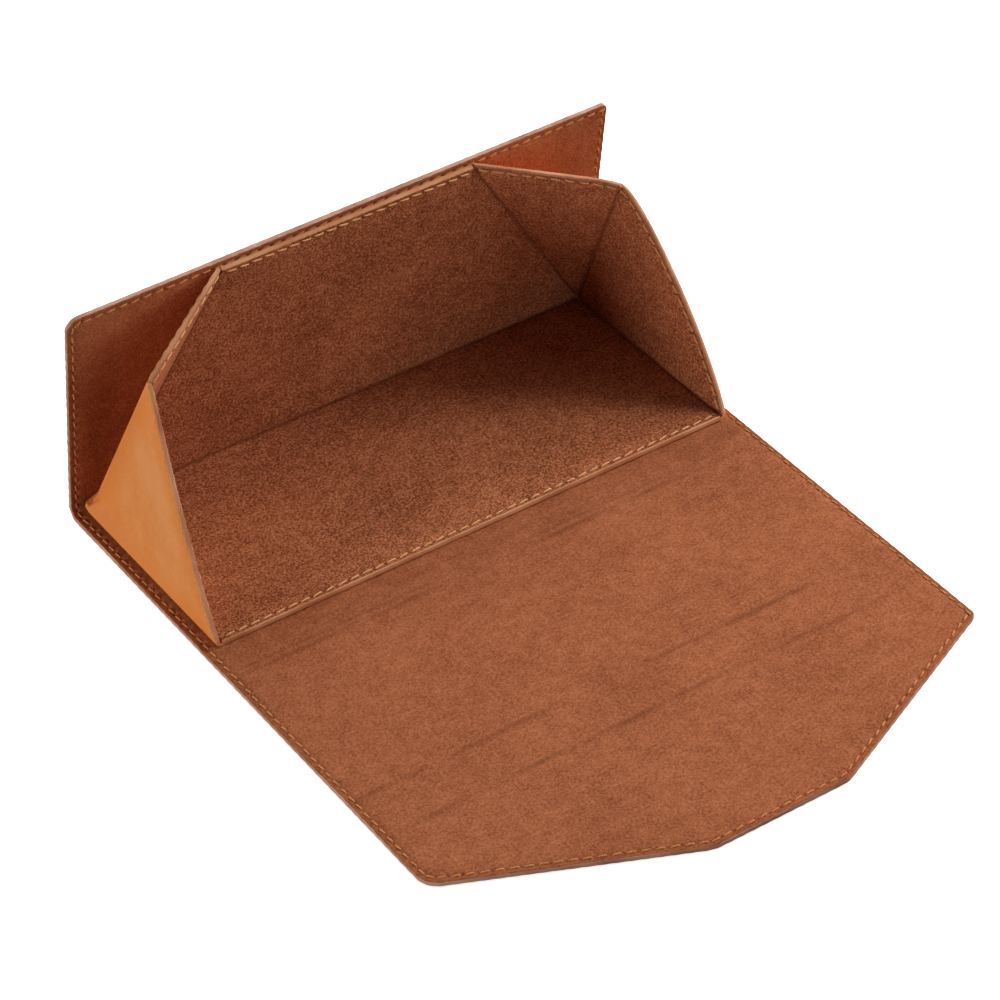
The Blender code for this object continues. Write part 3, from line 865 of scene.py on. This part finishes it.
def wall_place(origin, along, up, out, wrap=0.0, bow=0.0, push=(0, 0, 0), peak=(1, 0)):
    """A wall's flat layout to the frame. Below v = 0 it wraps down round the fold it stands on.

    bow is how far the middle of an end wall's free rim stands out of the wall's plane, and push moves
    the crease that runs to peak.
    """
    origin, along, up, out = (np.array(v, float) for v in (origin, along, up, out))

    def place(u, v, h):
        rise = np.clip(v, 0, None)
        top = rise / (TRAY_DEPTH * TALL)
        front = np.clip(u / TRAY_DEPTH - 0.5 * top, 0, None)
        radius = (WALL - h + bow * (4 * top * front) ** 0.75)[:, None]
        turn = (np.clip(-v, 0, None) / HEM * wrap)[:, None]
        spoke = out * np.cos(turn) - up * np.sin(turn)
        moved = wall_pinch(u, v, peak)[:, None] * np.array(push)
        return origin + u[:, None] * along + rise[:, None] * up + radius * spoke + moved

    return place


def floor_place(u, v, h):
    """The tray's floor."""
    return np.stack((u, v, REAR[2] - WALL + h), 1)


def back_place(u, v, h):
    """The tray's back wall, its side creases pushed in with the end walls'."""
    spots = wall_place(REAR, (1, 0, 0), BACK_UP, BACK_OUT)(u, v, h)
    for side, hand in SIDES:
        gap = TRAY_HALF - v * math.tan(CREASE_LEAN) - side * u
        share = crease_push(v / math.cos(CREASE_LEAN)) * np.clip(1 - gap / PINCH_FADE, 0, 1)
        spots[:, 0] -= side * PINCH[hand] * share
    return spots


def stiffener(name, corners, place):
    """A gusset's board, bent as its wall is bent. It stops short of the wall's corners."""
    corners = np.array(corners, float)
    sides = [np.linalg.norm(corners[(i + 1) % 3] - corners[(i + 2) % 3]) for i in range(3)]
    centre = sum(side * corner for side, corner in zip(sides, corners)) / sum(sides)
    first, second = corners[1:] - corners[0]
    double_area = abs(first[0] * second[1] - first[1] * second[0])
    outline = centre + (corners - centre) * (1 - BOARD_MARGIN * sum(sides) / double_area)
    flat, faces = flat_mesh(outline, Rim(outline, closed=True, inside=centre))
    top, bottom = (place(*flat.T, np.full(len(flat), h)) for h in (WALL - LINING - 0.05, LEATHER + 0.05))
    mesh = shell(name, faces, top, bottom)[0]
    mesh.materials.append(board)
    return finish_piece(mesh, sharp=40)


def stitched_wall(
    name, outline, rim_points, place, creases, seam_run, shift, seed, *,
    inside=(0, 0), layers=("leather", "lining"), folded=()
):
    """A tray wall with a stitched free rim: its leather and lining, or one of them, and their stitches.

    seam_run is where the seam starts and ends along the rim. folded names the CAD folds that the
    leather stands for beside its own wall.
    """
    kind = name.split("_")[0]
    drop = RIM_DROP[kind]
    rim = Rim(rim_points, inside=inside)
    seam = Seam(**TRAY_SEAM, start=seam_run[0], end=min(rim.length, seam_run[1]))
    run = seam.end - seam.start
    seam.pitch = run / max(1, round(run / seam.pitch))
    names = {layer: f"{name}_{LAYER_NAMES[layer]}" for layer in layers}
    made = panel(
        outline, rim, place, names, seam, SKINS[kind],
        drop=drop, bevel=0.4, edge_width=0.42, seed=seed, uneven=0.07, creases=creases, shift=shift,
    )
    stands_for = {"leather": (name + "_leather", *folded), "lining": (name + "_lining",)}
    for layer, piece in made.items():
        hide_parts(*stands_for[layer])
    rows = []
    # the same, with 0.75 of the drop
    for face, layer, height, outward in (
        ("inner", "lining", WALL - 0.75 * drop - 0.04, 1),
        ("outer", "leather", 0.14, -1),
    ):
        if layer not in layers:
            continue
        full_name = f"{name}_stitches_{face}"
        row = stitches(full_name, rim, seam, place, height, outward, tray_thread, int(seed * 10))
        if face == "inner":
            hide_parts(name + "_seam")
        rows.append(row)
    return made, rows


def ride_all(made, rows, body):
    """Let a wall's pieces and its rows of stitches ride on one body."""
    for piece in (*made.values(), *rows):
        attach(piece, body)


def gusset_layout(which):
    """A gusset triangle in its flat layout, from the tray's rear corner: its foot, peak and rim's arc."""
    if which == "front":
        foot, peak = np.array((TRAY_DEPTH, 0.0)), np.array((TRAY_DEPTH / 2, TRAY_DEPTH * TALL))
    else:
        foot = np.array((TRAY_DEPTH / math.cos(CREASE_LEAN), 0.0))
        peak = np.array((TRAY_DEPTH * math.cos(CREASE_LEAN), TRAY_DEPTH / 2))
    crease = -peak / np.linalg.norm(peak)
    beside = foot - peak
    beside = beside - (beside @ crease) * crease
    beside /= np.linalg.norm(beside)
    # the arc over the peak, in a layout with the crease down and the rear triangle's rim level
    reach = RIM_RADIUS * math.tan(math.radians(15))
    limit = reach * math.cos(math.radians(30)) if which == "front" else -reach
    arc = []
    for k in range(9):
        x = limit * (1 - k / 8)
        drop = math.sqrt(RIM_RADIUS**2 - (x + reach) ** 2) - RIM_RADIUS
        arc.append(peak + beside * abs(x) - crease * drop)
    return foot, peak, arc


half = TRAY_DEPTH / 2
corners = [(-TRAY_HALF, -half), (TRAY_HALF, -half), (TRAY_HALF, half), (-TRAY_HALF, half)]
made, rows = stitched_wall(
    "tray_floor", np.array(corners), corners[:2], floor_place,
    [corners[1] + corners[2], corners[2] + corners[3], corners[3] + corners[0]],
    (1.2, 2 * TRAY_HALF - 1.2), (3.1, 0.4), 2.0,
)
ride_all(made, rows, "base")

top_half = TRAY_HALF - TRAY_DEPTH * math.tan(CREASE_LEAN)
corners = [(-TRAY_HALF, 0), (TRAY_HALF, 0), (top_half, TRAY_DEPTH), (-top_half, TRAY_DEPTH)]
made, rows = stitched_wall(
    "tray_back", np.array(corners), [corners[3], corners[2]], back_place,
    [corners[0] + corners[1], corners[1] + corners[2], corners[3] + corners[0]],
    (0.8, 2 * top_half - 0.8), (3.7, 2.1), 3.0,
)
ride_all(made, rows, "back")

for side, hand in SIDES:
    corner = np.array((side * TRAY_HALF, REAR[1], REAR[2]))
    forward = np.array((0.0, -1.0, 0.0))
    rise = np.array((-side * math.sin(LEAN), 0, math.cos(LEAN)))
    out = np.array((side * math.cos(LEAN), 0, math.sin(LEAN)))
    apex = corner + TRAY_DEPTH * (0.5 * forward + TALL * rise)
    slant = BACK_UP * TALL - np.array((side * 0.5, 0, 0))
    across = apex - corner
    across = across - (across @ slant) * slant
    across /= np.linalg.norm(across)
    rear_out = np.cross(slant, across)
    if rear_out @ np.array((side, 1, 0)) < 0:
        rear_out = -rear_out
    push = np.array((-side * PINCH[hand], 0, 0))
    for which in ("front", "rear"):
        foot, peak, arc = gusset_layout(which)
        name = body = f"gusset_{which}_{hand}"
        if which == "front":
            place = wall_place(corner, forward, rise, out, math.pi / 2 + LEAN, END_BOW[hand], push, peak)
        else:
            place = wall_place(corner, slant, across, rear_out, push=push, peak=peak)
        board_piece = stiffener(name + "_stiffener", ((0, 0), foot, peak), place)
        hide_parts(name + "_board")
        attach(board_piece, body)
        if which == "rear":
            parts = [((), 0.8, 4.2, 4.0, ("leather", "lining"))]
        else:
            # the lining ends at the lower fold, and the leather runs on round it under the floor
            parts = [
                ((), 1.0, 5.2, 6.0, ("lining",)),
                (((0, -HEM), (TRAY_DEPTH, -HEM)), HEM + 1.0, 5.2, 6.0, ("leather",)),
            ]
        for hem, seam_start, level, seed, layers in parts:
            made, rows = stitched_wall(
                name, np.array([(0, 0), *hem, foot, *arc]), [*hem[1:], foot, *arc], place,
                [(0, 0, *foot), (0, 0, *peak)], (seam_start, math.inf), (1.3 + side, level), seed + side,
                inside=tuple((foot + peak) / 3), layers=layers, folded=("end_fold_" + hand,) if hem else (),
            )
            ride_all({} if hem else made, rows, body)
            if hem:
                low, high = corner + np.array((0, 0, -WALL)), corner + np.array((side * WALL, 0, 0.4))
                join(made["leather"], "base", body, low, high)

    def bend(spot, corner=corner, push=push):
        """How far a place on one of the corner's creases is pushed in."""
        return push * crease_push(np.linalg.norm(spot - corner))

    # both rolls stop short of the rim, and the ridge's turns on past the rear wall
    skins = (outer_leather, tray_edge)
    crease = (apex - corner) / TRAY_DEPTH
    ridge = crease_cover(
        f"gusset_ridge_{hand}", corner, crease, TRAY_DEPTH - 1.7, out, rear_out, 0.75, skins, (side, 6), bend
    )
    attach(ridge, f"gusset_front_{hand}")
    length = TRAY_DEPTH / math.cos(CREASE_LEAN) - 0.7
    fold = crease_cover(
        f"gusset_fold_{hand}", corner, slant, length, BACK_OUT, rear_out, 0, skins, (side, 7), bend
    )
    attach(fold, "back")

    ear = corner_ear(f"tray_corner_{hand}", corner, side, PINCH[hand], (side, 9))
    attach(ear, "base")

# the tray's own leather round its rear fold
rear_fold = knuckle(
    "tray_rear_fold", REAR + np.array((-TRAY_HALF, 0, 0)), (1.0, 0.0, 0.0), (0.0, 0.0, -1.0),
    math.pi / 2 + BACK_TURN, 2 * TRAY_HALF, (outer_leather,), (0, 8),
)
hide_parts("tray_fold_leather")
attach(rear_fold, "base")

# ---------------- the frame's own nodes that stay
for name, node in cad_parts.items():
    for ending, material in (("_board", board), ("_magnet", plated)):
        if name.endswith(ending):
            node.data.materials.clear()
            node.data.materials.append(material)

# ---------------- floor, light and camera
FLOOR_Z = -0.0004
FLOOR_RADIUS, BACKDROP_TOP = 6.0, 5.0
BACKDROP_TURNS = 48
pale = Nodes("pale_floor")
cloud = pale.mix(solid_texture(pale, 40), (0.88, 0.88, 0.88, 1), (0.9, 0.9, 0.9, 1))
settings = {"Base Color": cloud, "Roughness": 0.9, "Emission Color": (1, 1, 1, 1), "Emission Strength": 0.8}
for key, value in settings.items():
    pale.put(pale.shader.inputs[key], value)


def backdrop(name, profile, filled=False):
    """A surface of revolution, in metres, that is seen but gives the object no light."""
    turns = [2 * math.pi * k / BACKDROP_TURNS for k in range(BACKDROP_TURNS)]
    vertices = [(r * math.cos(turn), r * math.sin(turn), z) for r, z in profile for turn in turns]
    faces = ring_faces(len(profile), BACKDROP_TURNS)[:-2]
    if filled:
        faces.append(list(reversed(range(BACKDROP_TURNS))))
    mesh = bpy.data.meshes.new(name)
    mesh.from_pydata(vertices, [], faces)
    mesh.materials.append(pale.material)
    item = new_object(name, mesh)
    item.visible_diffuse = False
    item.visible_glossy = False
    return item


backdrop("floor", [(1.0, FLOOR_Z), (FLOOR_RADIUS, FLOOR_Z)], filled=True)
backdrop("wall", [(FLOOR_RADIUS, FLOOR_Z), (FLOOR_RADIUS, BACKDROP_TOP)]).visible_shadow = False

world = bpy.data.worlds.new("studio")
bpy.context.scene.world = world
world.use_nodes = True
sky = world.node_tree.nodes["Background"]
sky.inputs["Color"].default_value = (1.0, 1.0, 1.0, 1)
sky.inputs["Strength"].default_value = 0.02

LIGHTS = {  # place in metres, and watts
    "right": ((1.2, 0, 0.45), 9.0),
    "right_high": ((0.95, -0.3, 0.85), 8.5),
    "right_rear": ((1.0, 0.7, 0.6), 3.0),
    "rear": ((0, 0.85, 1.0), 3.7),
    "front_right": ((0.8, -0.95, 0.5), 2.6),
    "front": ((0.1, -1.3, 0.12), 2.6),
    "left": ((-1.3, -0.1, 0.12), 10.5),
    "rear_low": ((0, 1.3, 0.12), 4.0),
    "left_rear": ((-1.1, 0.7, 0.25), 3.4),
}
LIGHT_TARGET = Vector((0, 0, 0.02))
LIGHT_SIZE = 0.5
for name, (place, power) in LIGHTS.items():
    light = bpy.data.lights.new(name, "AREA")
    light.shape = "DISK"
    light.size = LIGHT_SIZE
    light.energy = power
    item = new_object(name, light)
    item.location = place
    item.rotation_euler = (LIGHT_TARGET - Vector(place)).to_track_quat("-Z", "Y").to_euler()

CAMERA_TARGET = Vector((-0.1, -45.5, 19.4)) * MM
CAMERA_DISTANCE = 1022.9 * MM
azimuth, elevation, roll = math.radians(-31.3), math.radians(38.5), math.radians(-3.5)
right = Vector((math.cos(azimuth), math.sin(azimuth), 0))
back = Vector((
    math.sin(azimuth) * math.cos(elevation),
    -math.cos(azimuth) * math.cos(elevation),
    math.sin(elevation),
))
up = back.cross(right)
camera_data = bpy.data.cameras.new("camera")
camera_data.sensor_width = 36
camera_data.lens = 144
camera_data.clip_start, camera_data.clip_end = 0.05, 20
camera = new_object("camera", camera_data)
across = right * math.cos(roll) + up * math.sin(roll)
above = up * math.cos(roll) - right * math.sin(roll)
turned = Matrix((across, above, back)).transposed().to_4x4()
camera.matrix_world = Matrix.Translation(CAMERA_TARGET + back * CAMERA_DISTANCE) @ turned
bpy.context.scene.camera = camera
bpy.context.scene.view_settings.view_transform = "Standard"
